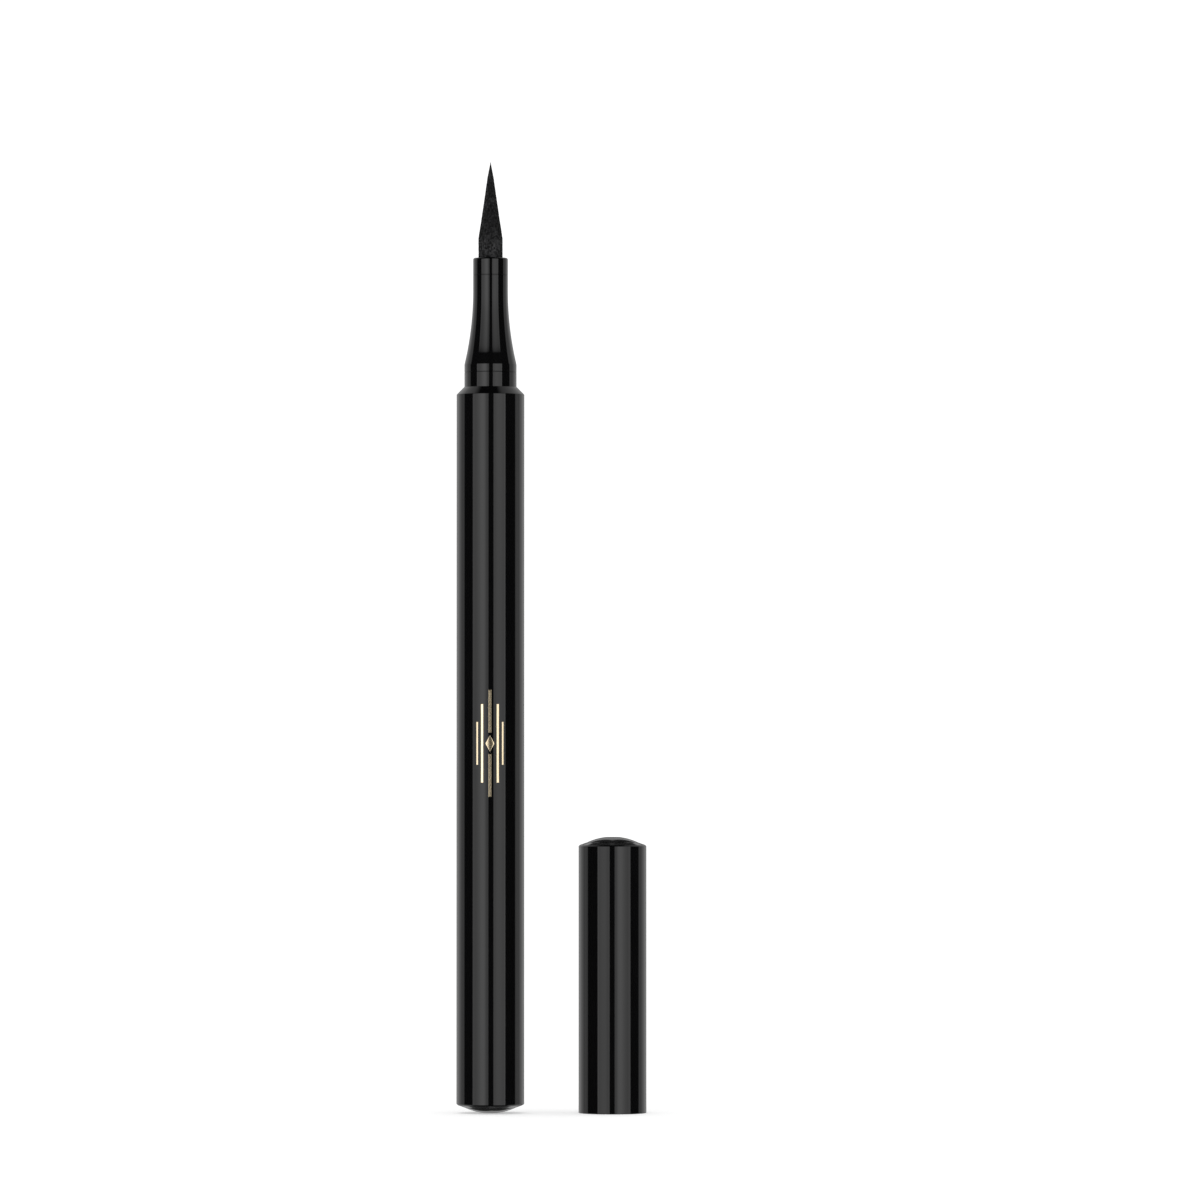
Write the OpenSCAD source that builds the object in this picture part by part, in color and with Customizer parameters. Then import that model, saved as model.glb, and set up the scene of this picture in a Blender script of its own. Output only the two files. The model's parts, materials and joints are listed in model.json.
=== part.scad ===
// Liquid eyeliner pen with its cap off and standing beside it.
// Millimetres, +Z up. The pen's axis is Z, and its foot rests on the origin.
// The cap stands on its own rim, on the same surface, along +X.

/* [Barrel] */
// Outer diameter of the barrel and of the cap
barrel_d = 9.55; // [9:0.05:10.4]
// Length from the foot to the barrel's mouth
barrel_len = 102.2; // [96:0.1:112]
// Diameter of the small flat that the foot stands on
foot_flat_d = 2; // [2:0.1:4]

/* [Nozzle] */
// Height of the collar that stands out of the barrel
collar_h = 3.17; // [2.6:0.01:4]
// Length of the flare, from the collar up to the nozzle's tube
flare_len = 10.23; // [8:0.01:13]
// Outer diameter of the nozzle's tube
nozzle_d = 4.90; // [4.6:0.02:4.9]
// Length of the nozzle's tube, with the holder ring at its end
tube_len = 4.9; // [4:0.1:7]

/* [Nib] */
// Diameter of the nib
nib_d = 3.4; // [3:0.1:3.4]
// Length of the round part that shows
nib_straight = 2.7; // [1.5:0.1:4]
// Length of the ground point
nib_point = 10.8; // [8:0.1:11]

/* [Cap] */
// Room over the nib's tip inside the cap when it is on
nib_room = 0.95; // [0.6:0.05:4]
// Distance from the pen's axis to the cap's
cap_gap = 17.2; // [12:0.1:60]
// Turns of the spring over the inner cap
spring_turns = 8; // [6:1:10]

/* [Ink system] */
// Diameter of the mixing ball
ball_d = 3; // [2.4:0.1:3.6]
// Depth of the ink over the tank's stopper
ink_depth = 26; // [16:1:30]
// Fins on the ink collector
fin_count = 24; // [16:1:26]
// Diameter of the feed wick
wick_d = 1.8; // [1.6:0.05:1.8]

/* [Foil accent] */
// Length of the middle hairline
foil_len = 15; // [10:0.5:20]
// Height of the accent's centre above the foot
foil_mid = 52; // [30:1:80]

/* [Hidden] */
$fn = 96;

// Shared fits
gap = 0.02;      // free fit between neighbouring pieces
press = 0.01;    // interference of a press ring
bore_r = 3.69;   // barrel's bore, and the cap's upper opening
plug_r = 3.67;   // spigots that go into that bore
barrel_r = barrel_d / 2;
bevel_r = bore_r + 0.04;  // inner edge of the bevel at the barrel's mouth

// Heights along the pen
foot_z = 0.78;                       // where the barrel's foot starts, flush with the plug's dome
foot_rim_h = 0.47;                   // height of the bevelled edge
mouth_z = barrel_len;
stem_top = 24.45;                    // the plug's stem ends just under the stopper
stopper_z = 24.5;
stopper_flange = 1.5;
tank_z = stopper_z + stopper_flange + gap;
stopper_top = stopper_z + 7.5;
dish_r = 2.2;                        // dish in the stopper, where the ball settles
dish_h = 1.1;
tank_r = plug_r - 0.02;
tank_bore = 3.0;
coupler_z = mouth_z - 7.2;           // shoulder of the coupler, on the tank's end
seam_z = mouth_z + 2.09;             // joint between coupler and nozzle
collar_z = mouth_z + collar_h;
flare_top = collar_z + flare_len;
holder_z = flare_top + tube_len - 2.48;
tube_top = flare_top + tube_len;
cone_z = tube_top + nib_straight;
nib_top = cone_z + nib_point;

nozzle_r = nozzle_d / 2;
nib_r = nib_d / 2;
wick_r = wick_d / 2;
ball_r = ball_d / 2;
// the ball touches the dish's cone all round
ball_z = stopper_top - dish_h + ball_r * sqrt(dish_r * dish_r + dish_h * dish_h) / dish_r + 0.013;

// Where the cap sits when it is on: its rim's inner edge meets the bevel at the barrel's mouth,
// and the inner cap's mouth meets the flare 0.8 mm before that, so that its spring is pressed
cap_bore = 4.15;
inner_bore = nozzle_r + 0.16;
inner_r = inner_bore + 0.45;
cap_seat = mouth_z - (cap_bore - bevel_r);
inner_lift = 0.8;
inner_seat = flare_top - flare_len * sqrt((inner_bore - nozzle_r) / (plug_r - nozzle_r));
inner_z = inner_seat - cap_seat - inner_lift;

// Heights along the cap, from its rim. Its length follows from the nib that it has to cover.
cap_len = nib_top - cap_seat + nib_room - inner_lift + 6.44;
cap_shoulder = cap_len - 2.63;
liner_z = 0.8;
liner_top = cap_len - 17.23;
liner_bore = plug_r + 0.08;
bead_r = plug_r - 0.05;               // bead that clicks over the collar's top edge
bead_z = collar_z - cap_seat - 0.01;
inner_top = cap_len - 5.63;
flange_top = liner_top + gap + 0.78;
spring_z = flange_top + gap;
spigot_z = cap_len - 4.23;

// Points on an arc, centre c, radius r, from angle a0 to a1
function arc(c, r, a0, a1, n) =
  [for (i = [0:n]) let (a = a0 + (a1 - a0) * i / n) [c[0] + r * cos(a), c[1] + r * sin(a)]];

// The bevelled edge at the barrel's foot, and at the cap's top turned over:
// a shallow cone that carries on the plug's dome and rounds over into the side
rim_cone = 0.4;
function rim(outer, n = 8) =
  [for (i = [0:n]) let (a = 90 * i / n)
    [bore_r + (outer - bore_r) * sin(a), foot_z + rim_cone * sin(a) + (foot_rim_h - rim_cone) * (1 - cos(a))]];

// The plug's dome: from the flat out to its edge, on a circle centred on the axis
dome_r = plug_r - 0.01;
dome_h = 0.78;
foot_flat_r = foot_flat_d / 2;
dome_c = (dome_r * dome_r + dome_h * dome_h - foot_flat_r * foot_flat_r) / (2 * dome_h);
dome_rad = sqrt(foot_flat_r * foot_flat_r + dome_c * dome_c);
function dome(n = 8) =
  let (a0 = atan(foot_flat_r / dome_c), a1 = asin(dome_r / dome_rad))
  [for (i = [0:n]) let (a = a0 + (a1 - a0) * i / n)
    [dome_rad * sin(a), dome_c - dome_rad * cos(a)]];

module turned(points) rotate_extrude() polygon(points);

// A raised press ring on a spigot of radius r, from z0 up by h
function ring(r, z0, h, over) =
  [[r, z0], [r + over, z0 + 0.15], [r + over, z0 + h - 0.15], [r, z0 + h]];
function reversed(list) = [for (i = [len(list) - 1:-1:0]) list[i]];

module barrel() color([0.03, 0.03, 0.032])
  turned(concat(
    rim(barrel_r),
    [[barrel_r, mouth_z - (barrel_r - bevel_r)], [bevel_r, mouth_z], [bore_r, mouth_z]]));

module tail_plug() color([0.05, 0.05, 0.053]) union() {
  turned(concat(
    [[0, 0]], dome(),
    [[dome_r, foot_z + 0.06], [plug_r, foot_z + 0.12]],
    ring(plug_r, 2.3, 0.8, bore_r + press - plug_r),
    ring(plug_r, 5.5, 0.8, bore_r + press - plug_r),
    [[plug_r, 7.2], [plug_r - 0.3, 7.5], [2.8, 7.5], [2.8, 2], [0, 2]]));
  // stem of two crossed ribs that holds the tank's stopper up
  for (a = [0, 90]) rotate([0, 0, a]) {
    translate([-2.9, -0.4, 1.8]) cube([5.8, 0.8, 6]);
    translate([-3.3, -0.4, 7.5]) cube([6.6, 0.8, stem_top - 7.5]);
  }
}

module ink_tank() color([0.85, 0.87, 0.88, 0.5])
  turned([
    [tank_bore + 0.2, tank_z], [tank_r - 0.15, tank_z], [tank_r, tank_z + 0.15],
    [tank_r, coupler_z - gap - 0.15], [tank_r - 0.15, coupler_z - gap],
    [tank_bore + 0.2, coupler_z - gap], [tank_bore, coupler_z - gap - 0.2], [tank_bore, tank_z + 0.2]]);

module tank_stopper() color([0.9, 0.9, 0.88])
  turned([
    [1.3, stopper_z], [tank_r - 0.1, stopper_z], [tank_r, stopper_z + 0.1],
    [tank_r, stopper_z + stopper_flange - 0.1], [tank_r - 0.1, stopper_z + stopper_flange],
    [2.97, stopper_z + stopper_flange],
    [2.97, stopper_z + 4.55], [2.2, stopper_z + 4.55], [2.2, stopper_z + 5.45], [2.97, stopper_z + 5.45],
    [2.97, stopper_top - 0.3], [2.8, stopper_top],
    [dish_r, stopper_top], [0, stopper_top - dish_h], [0, stopper_z + 4], [1.3, stopper_z + 4]]);

module stopper_seal() color([0.08, 0.08, 0.08])
  translate([0, 0, stopper_z + 5]) rotate_extrude() translate([2.6, 0]) circle(r = 0.38, $fn = 32);

module ink() color([0.01, 0.01, 0.012])
  difference() {
    translate([0, 0, stopper_top + gap]) cylinder(r = tank_bore - gap, h = ink_depth - gap);
    translate([0, 0, ball_z]) sphere(r = ball_r + gap);
  }

// Comb of thin fins round a core, on a tube that goes into the coupler
coll_pitch = 0.9;
coll_fin = 0.4;
coll_top = coupler_z - 5.2;
coll_z = coll_top - (fin_count - 1) * coll_pitch - coll_fin;
module ink_collector() color([0.88, 0.88, 0.85])
  difference() {
    turned(concat(
      [[wick_r + gap, coll_z - 0.6], [1.3, coll_z - 0.6], [1.5, coll_z - 0.4]],
      [for (i = [0:fin_count - 1]) let (z = coll_z + i * coll_pitch)
        each [[1.5, z], [2.92, z], [2.92, z + coll_fin], [1.5, z + coll_fin]]],
      [[1.5, coll_top + 0.3], [2.05, coll_top + 0.3], [2.05, coupler_z + 2.4], [1.95, coupler_z + 2.5],
       [wick_r + gap, coupler_z + 2.5]]));
    // capillary slot that feeds the fins, and the wider air slot across from it
    translate([1.25, -0.15, coll_z + coll_fin + 0.1]) cube([2, 0.3, coll_top - coll_z - 2 * coll_fin - 0.2]);
    translate([-3.3, -0.45, coll_z - 0.1]) cube([1.6, 0.9, coll_top - coll_z - coll_fin]);
  }

wick_z = coll_z - 4.1;
wick_top = collar_z + 4.83;
module feed_wick() color([0.12, 0.12, 0.13])
  turned([[0, wick_z], [wick_r - 0.15, wick_z], [wick_r, wick_z + 0.15],
    [wick_r, wick_top - 0.15], [wick_r - 0.15, wick_top], [0, wick_top]]);

module neck_coupler() color([0.03, 0.03, 0.032])
  turned(concat(
    [[2.10, coupler_z - 5], [2.8, coupler_z - 5], [2.97, coupler_z - 4.7],
     [2.97, coupler_z - 3.0], [2.5, coupler_z - 3.0], [2.5, coupler_z - 2.1], [2.97, coupler_z - 2.1],
     [2.97, coupler_z], [plug_r - 0.1, coupler_z], [plug_r, coupler_z + 0.1]],
    ring(plug_r, coupler_z + 1.4, 0.8, bore_r + press - plug_r),
    ring(plug_r, coupler_z + 4.4, 0.8, bore_r + press - plug_r),
    [[plug_r, seam_z - 0.03], [plug_r - 0.03, seam_z], [2.60, seam_z],
     [2.60, coupler_z + 3], [2.10, coupler_z + 3]]));

module coupler_seal() color([0.08, 0.08, 0.08])
  translate([0, 0, coupler_z - 2.55]) rotate_extrude() translate([2.745, 0]) circle(r = 0.225, $fn = 32);

// The flare narrows on a parabola from the collar to the tube
function flare_r(z) = nozzle_r + (plug_r - nozzle_r) * pow((flare_top - z) / flare_len, 2);
module nozzle() color([0.03, 0.03, 0.032])
  turned(concat(
    [[wick_r + 0.05, coupler_z + 3.2], [2.45, coupler_z + 3.2], [2.58, coupler_z + 3.4]],
    ring(2.58, coupler_z + 5, 0.8, 2.60 + press - 2.58),
    [[2.58, seam_z + gap], [plug_r - 0.03, seam_z + gap], [plug_r, seam_z + gap + 0.03]],
    [for (i = [0:16]) let (z = collar_z + flare_len * i / 16) [flare_r(z), z]],
    [[nozzle_r, holder_z - gap - 0.02], [nozzle_r - 0.02, holder_z - gap],
     [2.02, holder_z - gap], [2.02, collar_z + 3.73], [nib_r + 0.05, collar_z + 3.73],
     [nib_r + 0.05, collar_z - 1.17], [wick_r + 0.05, collar_z - 1.17]]));

module nib_holder() color([0.03, 0.03, 0.032])
  turned(concat(
    [[nib_r + gap, collar_z + 3.83], [1.95, collar_z + 3.83], [2.0, collar_z + 3.93]],
    ring(2.0, holder_z - 4, 0.8, 2.02 + press - 2.0),
    [[2.0, holder_z], [nozzle_r - 0.02, holder_z], [nozzle_r, holder_z + 0.02]],
    arc([nozzle_r - 0.28, tube_top - 0.34], 0.28, 0, 84, 5),
    [[nib_r + 0.12, tube_top], [nib_r + gap, tube_top - 0.1]],
    // crimp that grips the nib
    [[nib_r + gap, holder_z - 1.2], [nib_r - press, holder_z - 1.35],
     [nib_r - press, holder_z - 1.65], [nib_r + gap, holder_z - 1.8]]));

// The ground point tapers almost straight to a quarter of its diameter, then is honed sharper
hone = 0.8;
function point_r(t) = t < hone
  ? nib_r * (1 - 0.935 * t) - 0.02 * sin(180 * t / hone)
  : nib_r * (1 - 0.935 * hone) * (1 - t) / (1 - hone);
module nib() color([0.07, 0.07, 0.073])
  turned(concat(
    [[0, collar_z - 0.17 + 5.1], [wick_r + gap, collar_z - 0.17 + 5.1], [wick_r + gap, collar_z - 0.17],
     [nib_r - 0.15, collar_z - 0.17], [nib_r, collar_z - 0.02]],
    [for (i = [0:16]) let (t = i / 20) [point_r(t), cone_z + nib_point * t]],
    [for (t = [0.88, 0.94]) [point_r(t), cone_z + nib_point * t]],
    [[0.05, cone_z + nib_point * 0.985], [0, nib_top]]));

// Fine hairlines and a small lozenge, as a thin film on the barrel's front
foil_w = 0.32;
module foil_accent() color([0.83, 0.68, 0.36])
  intersection() {
    difference() {
      translate([0, 0, foil_mid - foil_len / 2 - 1]) cylinder(r = barrel_r + 0.03, h = foil_len + 2);
      translate([0, 0, foil_mid - foil_len / 2 - 2]) cylinder(r = barrel_r + 0.002, h = foil_len + 4);
    }
    translate([0, 0, foil_mid]) rotate([90, 0, 0]) linear_extrude(height = 8) {
      for (s = [-1, 1]) {
        translate([-foil_w / 2, s > 0 ? 1.5 : -foil_len / 2]) square([foil_w, foil_len / 2 - 1.5]);
        translate([s * 1.1 - 0.16, -foil_len / 2 + 2]) square([0.32, foil_len - 4]);
        translate([s * 1.8 - 0.12, -foil_len / 5]) square([0.24, foil_len / 2.5]);
      }
      polygon([[-0.62, 0], [0, -1.15], [0.62, 0], [0, 1.15]]);
    }
  }

module mixing_ball() color([0.75, 0.76, 0.78])
  translate([0, 0, ball_z]) sphere(r = ball_r);

module at_cap() translate([cap_gap, 0, 0]) children();

module cap_shell() color([0.03, 0.03, 0.032]) at_cap()
  turned(concat(
    [[cap_bore, 0.05], [cap_bore + 0.05, 0], [barrel_r - 0.08, 0]],
    arc([barrel_r - 0.08, 0.08], 0.08, -60, 0, 3),
    [for (p = reversed(rim(barrel_r))) [p[0], cap_len - p[1]]],
    [[bore_r, cap_shoulder], [cap_bore, cap_shoulder]]));

module cap_liner() color([0.82, 0.82, 0.8]) at_cap()
  turned(concat(
    [[3.85, liner_z], [4.05, liner_z], [4.13, liner_z + 0.2]],
    ring(4.13, 2, 0.8, cap_bore + press - 4.13),
    ring(4.13, liner_top / 2, 0.8, cap_bore + press - 4.13),
    ring(4.13, liner_top - 2.2, 0.8, cap_bore + press - 4.13),
    [[4.13, liner_top - 0.1], [4.03, liner_top], [3.2, liner_top], [3.2, liner_top - 0.8],
     [liner_bore, liner_top - 1.2],
     [liner_bore, bead_z + 0.9], [bead_r, bead_z + 0.6], [bead_r, bead_z + 0.3], [liner_bore, bead_z],
     [liner_bore, 1.5]]));

module cap_end_plug() color([0.05, 0.05, 0.053]) at_cap()
  turned(concat(
    [[3.15, spigot_z], [plug_r - 0.05, spigot_z], [plug_r, spigot_z + 0.2],
     // bead that holds the plug behind the shell's shoulder
     [plug_r, spigot_z + 0.8], [bore_r + 0.14, spigot_z + 1.3], [bore_r + 0.14, spigot_z + 1.4], [plug_r, cap_shoulder - 0.05]],
    ring(plug_r, cap_len - 2.2, 0.8, bore_r + press - plug_r),
    [[plug_r, cap_len - foot_z - 0.12], [dome_r, cap_len - foot_z - 0.06]],
    [for (p = reversed(dome())) [p[0], cap_len - p[1]]],
    [[0, cap_len], [0, cap_len - 1.23], [3.15, cap_len - 1.23]]));

// Coil spring: a round wire swept along a helix whose end turns lie closed
wire_r = 0.2;
coil_r = 3.4;
function coil_z(u) =
  let (z0 = spring_z + wire_r, z1 = spigot_z - gap - wire_r, lead = 2 * wire_r + 0.02, n = spring_turns)
  u < 1 ? z0 + lead * u
  : u > n - 1 ? z1 - lead * (n - u)
  : z0 + lead + (z1 - z0 - 2 * lead) * (u - 1) / (n - 2);
module inner_cap_spring() color([0.7, 0.71, 0.73]) at_cap() {
  steps = spring_turns * 18;
  sides = 8;
  points = [for (i = [0:steps], j = [0:sides - 1])
    let (u = i / 18, a = 360 * u, b = 360 * j / sides, r = coil_r + wire_r * cos(b))
    [r * cos(a), r * sin(a), coil_z(u) + wire_r * sin(b)]];
  faces = concat(
    [[for (j = [0:sides - 1]) j]],
    [for (i = [0:steps - 1], j = [0:sides - 1])
      let (k = (j + 1) % sides)
      [i * sides + j, (i + 1) * sides + j, (i + 1) * sides + k, i * sides + k]],
    [[for (j = [sides - 1:-1:0]) steps * sides + j]]);
  polyhedron(points, faces, convexity = 10);
}

module inner_cap() color([0.86, 0.86, 0.84]) at_cap()
  turned(concat(
    [[inner_bore + 0.2, inner_z], [inner_r - 0.05, inner_z], [inner_r, inner_z + 0.05],
     [inner_r, liner_top + gap], [4.0, liner_top + gap], [4.05, liner_top + gap + 0.05],
     [4.05, flange_top - 0.05], [4.0, flange_top], [inner_r, flange_top]],
    arc([inner_r - 0.5, inner_top - 0.5], 0.5, 0, 90, 5),
    [[0, inner_top], [0, inner_top - 0.8], [inner_bore - 0.4, inner_top - 0.8], [inner_bore, inner_top - 1.2],
     // groove for the seal, then the lead-in at the mouth
     [inner_bore, inner_z + 1.7], [inner_bore + 0.2, inner_z + 1.7],
     [inner_bore + 0.2, inner_z + 0.9], [inner_bore, inner_z + 0.9], [inner_bore, inner_z + 0.4]]));

module inner_cap_seal() color([0.1, 0.1, 0.1]) at_cap()
  turned([
    [inner_bore + 0.19, inner_z + 0.92], [inner_bore + 0.19, inner_z + 1.68],
    [inner_bore + 0.01, inner_z + 1.68], [inner_bore - 0.11, inner_z + 1.48],
    [inner_bore - 0.11, inner_z + 1.12], [inner_bore + 0.01, inner_z + 0.92]]);

barrel();
tail_plug();
ink_tank();
tank_stopper();
stopper_seal();
ink();
ink_collector();
feed_wick();
neck_coupler();
coupler_seal();
nozzle();
nib_holder();
nib();
foil_accent();
mixing_ball();
cap_shell();
cap_liner();
cap_end_plug();
inner_cap_spring();
inner_cap();
inner_cap_seal();
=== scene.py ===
# Liquid eyeliner pen standing beside its cap, on a white sweep.
# Every mesh below is made here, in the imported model's frame, in metres. Helper profiles are in millimetres.
import json
import math

import bpy
import numpy as np
from mathutils import Matrix, Vector, noise

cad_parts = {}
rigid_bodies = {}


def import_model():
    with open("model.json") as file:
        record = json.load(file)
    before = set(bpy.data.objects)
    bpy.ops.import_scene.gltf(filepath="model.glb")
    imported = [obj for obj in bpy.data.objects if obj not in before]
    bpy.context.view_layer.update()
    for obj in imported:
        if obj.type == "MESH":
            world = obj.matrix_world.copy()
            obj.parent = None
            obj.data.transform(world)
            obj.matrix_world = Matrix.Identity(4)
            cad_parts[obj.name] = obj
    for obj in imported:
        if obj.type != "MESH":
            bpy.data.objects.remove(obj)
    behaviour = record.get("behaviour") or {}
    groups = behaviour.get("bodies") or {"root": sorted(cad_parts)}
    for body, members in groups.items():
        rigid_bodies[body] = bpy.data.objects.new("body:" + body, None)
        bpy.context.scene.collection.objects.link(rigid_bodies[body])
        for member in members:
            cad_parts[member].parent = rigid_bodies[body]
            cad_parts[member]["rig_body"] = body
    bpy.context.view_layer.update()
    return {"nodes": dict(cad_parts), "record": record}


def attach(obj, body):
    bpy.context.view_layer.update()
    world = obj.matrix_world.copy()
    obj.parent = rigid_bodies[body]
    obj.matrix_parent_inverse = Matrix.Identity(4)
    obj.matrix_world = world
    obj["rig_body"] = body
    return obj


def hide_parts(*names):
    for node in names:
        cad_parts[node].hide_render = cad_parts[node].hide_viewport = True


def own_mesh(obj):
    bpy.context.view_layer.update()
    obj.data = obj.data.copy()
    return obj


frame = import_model()
NODES = frame["nodes"]
scene = bpy.context.scene
MM = 0.001

# sizes shared by several pieces, in millimetres
R = 4.775          # outside of the barrel and the cap
BORE = 3.69        # barrel's bore, and the cap's upper opening
SPIGOT = 3.67      # spigots that go into that bore, and the collar
TUBE = 2.45        # outside of the nozzle's tube
CAP_X = 17.2
CAP_LEN = 38.81
FOOT, RIM = 0.78, 0.47
HOLDER = 118.02    # foot of the nib's holder ring

# ------------------------------------------------------------------ profiles


def arc(cx, cz, r, a0, a1, n):
    return [(cx + r * math.cos(math.radians(a0 + (a1 - a0) * i / n)),
             cz + r * math.sin(math.radians(a0 + (a1 - a0) * i / n))) for i in range(n + 1)]


def rounded(points, closed):
    """Replaces each corner (r, z, f) by an arc of radius f. A corner with no f stays sharp."""
    out, n = [], len(points)
    for i, p in enumerate(points):
        f = p[2] if len(p) > 2 else 0
        if f <= 0 or (not closed and i in (0, n - 1)):
            out.append((p[0], p[1]))
            continue
        a, b = np.array(points[i - 1][:2], float), np.array(points[(i + 1) % n][:2], float)
        c = np.array(p[:2], float)
        u, v = a - c, b - c
        lu, lv = np.linalg.norm(u), np.linalg.norm(v)
        u, v = u / lu, v / lv
        turn = math.pi - math.acos(max(-1, min(1, float(u @ v))))
        if turn < 0.02:
            out.append((p[0], p[1]))
            continue
        t = min(f * math.tan(turn / 2), 0.45 * lu, 0.45 * lv)
        f = t / math.tan(turn / 2)
        mid = u + v
        centre = c + mid / np.linalg.norm(mid) * (f / math.cos(turn / 2))
        s, e = c + u * t - centre, c + v * t - centre
        steps = max(3, math.ceil(math.degrees(turn) / 11))
        a0 = math.atan2(s[1], s[0])
        da = math.atan2(s[0] * e[1] - s[1] * e[0], s @ e)
        for k in range(steps + 1):
            ang = a0 + da * k / steps
            out.append((centre[0] + f * math.cos(ang), centre[1] + f * math.sin(ang)))
    return out


def ring(r, z0, h, over, f=0.02):
    """A raised press ring on a spigot of radius r."""
    return [(r, z0, f), (r + over, z0 + 0.15, f), (r + over, z0 + h - 0.15, f), (r, z0 + h, f)]


def rim(c=0.17, slope=0.37):
    """The bevelled edge at the barrel's foot, and at the cap's top turned over. A hairline chamfer c breaks its corner."""
    z = FOOT - 0.01 + slope * (R - c - BORE)
    return [(BORE, FOOT - 0.01, 0.04), (R - c, z, 0.015), (R, z + c, 0.02)]


def dome(n=24):
    """The end plugs' dome, from its small flat out to its edge."""
    edge = SPIGOT - 0.01
    c = (edge * edge + 0.78 * 0.78 - 1) / (2 * 0.78)
    rad = math.hypot(1, c)
    a0, a1 = math.atan(1 / c), math.asin(edge / rad)
    return [(rad * math.sin(a0 + (a1 - a0) * i / n), c - rad * math.cos(a0 + (a1 - a0) * i / n)) for i in range(n + 1)]


def turned_over(points, height=CAP_LEN):
    return [(p[0], height - p[1]) + tuple(p[2:]) for p in reversed(points)]


# ------------------------------------------------------------------ meshes


def put(mesh, name):
    mesh.name = name
    o = bpy.data.objects.new(name, mesh)
    scene.collection.objects.link(o)
    return o


def lathe(name, points, cx=0.0, seg=192, closed=True, wave=None, custom=True):
    """Turns a profile about a vertical axis at x = cx. closed: a loop off the axis; otherwise it starts and ends on it.
    Normals come from the profile itself, so that long straight walls stay dead straight in reflections."""
    pts = np.array(rounded(points, closed), float)
    keep = [0]
    for i in range(1, len(pts)):
        if np.linalg.norm(pts[i] - pts[keep[-1]]) > 1e-5:
            keep.append(i)
    if closed and np.linalg.norm(pts[keep[-1]] - pts[0]) < 1e-5:
        keep.pop()
    pts = pts[keep]
    n = len(pts)
    area = 0.5 * np.sum(pts[:, 0] * np.roll(pts[:, 1], -1) - np.roll(pts[:, 0], -1) * pts[:, 1])
    if area < 0:
        pts = pts[::-1].copy()
    m = n if closed else n - 1
    nxt = np.roll(pts, -1, axis=0)[:m]
    d = nxt - pts[:m]
    length = np.linalg.norm(d, axis=1)
    seg_n = np.stack([d[:, 1], -d[:, 0]], 1) / length[:, None]
    theta = 2 * math.pi * np.arange(seg) / seg
    cos_t, sin_t = np.cos(theta), np.sin(theta)

    index = np.full((n, seg), -1, int)
    verts = []
    for i, (r, z) in enumerate(pts):
        if r < 1e-6:
            index[i, :] = len(verts)
            verts.append((cx, 0.0, z))
        else:
            for j in range(seg):
                rr = r if wave is None else r + wave(r, z, theta[j])
                index[i, j] = len(verts)
                verts.append((cx + rr * cos_t[j], rr * sin_t[j], z))
    # profile normals at both ends of each segment; a corner over 32 degrees stays sharp
    start_n, end_n = seg_n.copy(), seg_n.copy()
    for i in range(m):
        prev = i - 1 if (closed or i > 0) else None
        if prev is not None and seg_n[prev] @ seg_n[i] > math.cos(math.radians(32)):
            w = seg_n[prev] * length[prev] ** 2 + seg_n[i] * length[i] ** 2
            w = w / np.linalg.norm(w)
            start_n[i] = w
            end_n[prev] = w
    faces, normals = [], []
    for i in range(m):
        k = (i + 1) % n
        for j in range(seg):
            j2 = (j + 1) % seg
            corners = [(index[i, j], start_n[i], j), (index[i, j2], start_n[i], j2), (index[k, j2], end_n[i], j2), (index[k, j], end_n[i], j)]
            seen, face, fn = set(), [], []
            for v, nn, jj in corners:
                if v in seen:
                    continue
                seen.add(v)
                face.append(int(v))
                fn.append((nn[0] * cos_t[jj], nn[0] * sin_t[jj], nn[1]))
            if len(face) < 3:
                continue
            faces.append(face)
            normals.extend(fn)
    mesh = bpy.data.meshes.new(name)
    mesh.from_pydata([(x * MM, y * MM, z * MM) for x, y, z in verts], [], faces)
    mesh.polygons.foreach_set("use_smooth", [True] * len(mesh.polygons))
    mesh.update()
    if custom:
        mesh.normals_split_custom_set(normals)
    return put(mesh, name)


def block(name, lo, hi, bevel=0.06):
    """A rib with softened long edges, in millimetres."""
    (x0, y0, z0), (x1, y1, z1) = lo, hi
    b = bevel
    outline = [(x0 + b, y0), (x1 - b, y0), (x1, y0 + b), (x1, y1 - b), (x1 - b, y1), (x0 + b, y1), (x0, y1 - b), (x0, y0 + b)]
    verts = [(x * MM, y * MM, z * MM) for z in (z0, z1) for x, y in outline]
    k = len(outline)
    faces = [list(range(k))[::-1], list(range(k, 2 * k))] + [[i, (i + 1) % k, k + (i + 1) % k, k + i] for i in range(k)]
    mesh = bpy.data.meshes.new(name)
    mesh.from_pydata(verts, [], faces)
    mesh.update()
    return put(mesh, name)


def cut(target, others, operation):
    """Exact boolean, applied, with edges over 30 degrees kept sharp."""
    for o in others:
        mod = target.modifiers.new("b", "BOOLEAN")
        mod.operation, mod.solver, mod.object = operation, "EXACT", o
    dg = bpy.context.evaluated_depsgraph_get()
    mesh = bpy.data.meshes.new_from_object(target.evaluated_get(dg))
    target.modifiers.clear()
    old = target.data
    target.data = mesh
    mesh.name = target.name
    bpy.data.meshes.remove(old)
    for o in others:
        bpy.data.objects.remove(o)
    mesh.polygons.foreach_set("use_smooth", [True] * len(mesh.polygons))
    mesh.set_sharp_from_angle(angle=math.radians(30))
    mesh.update()
    return target


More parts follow.
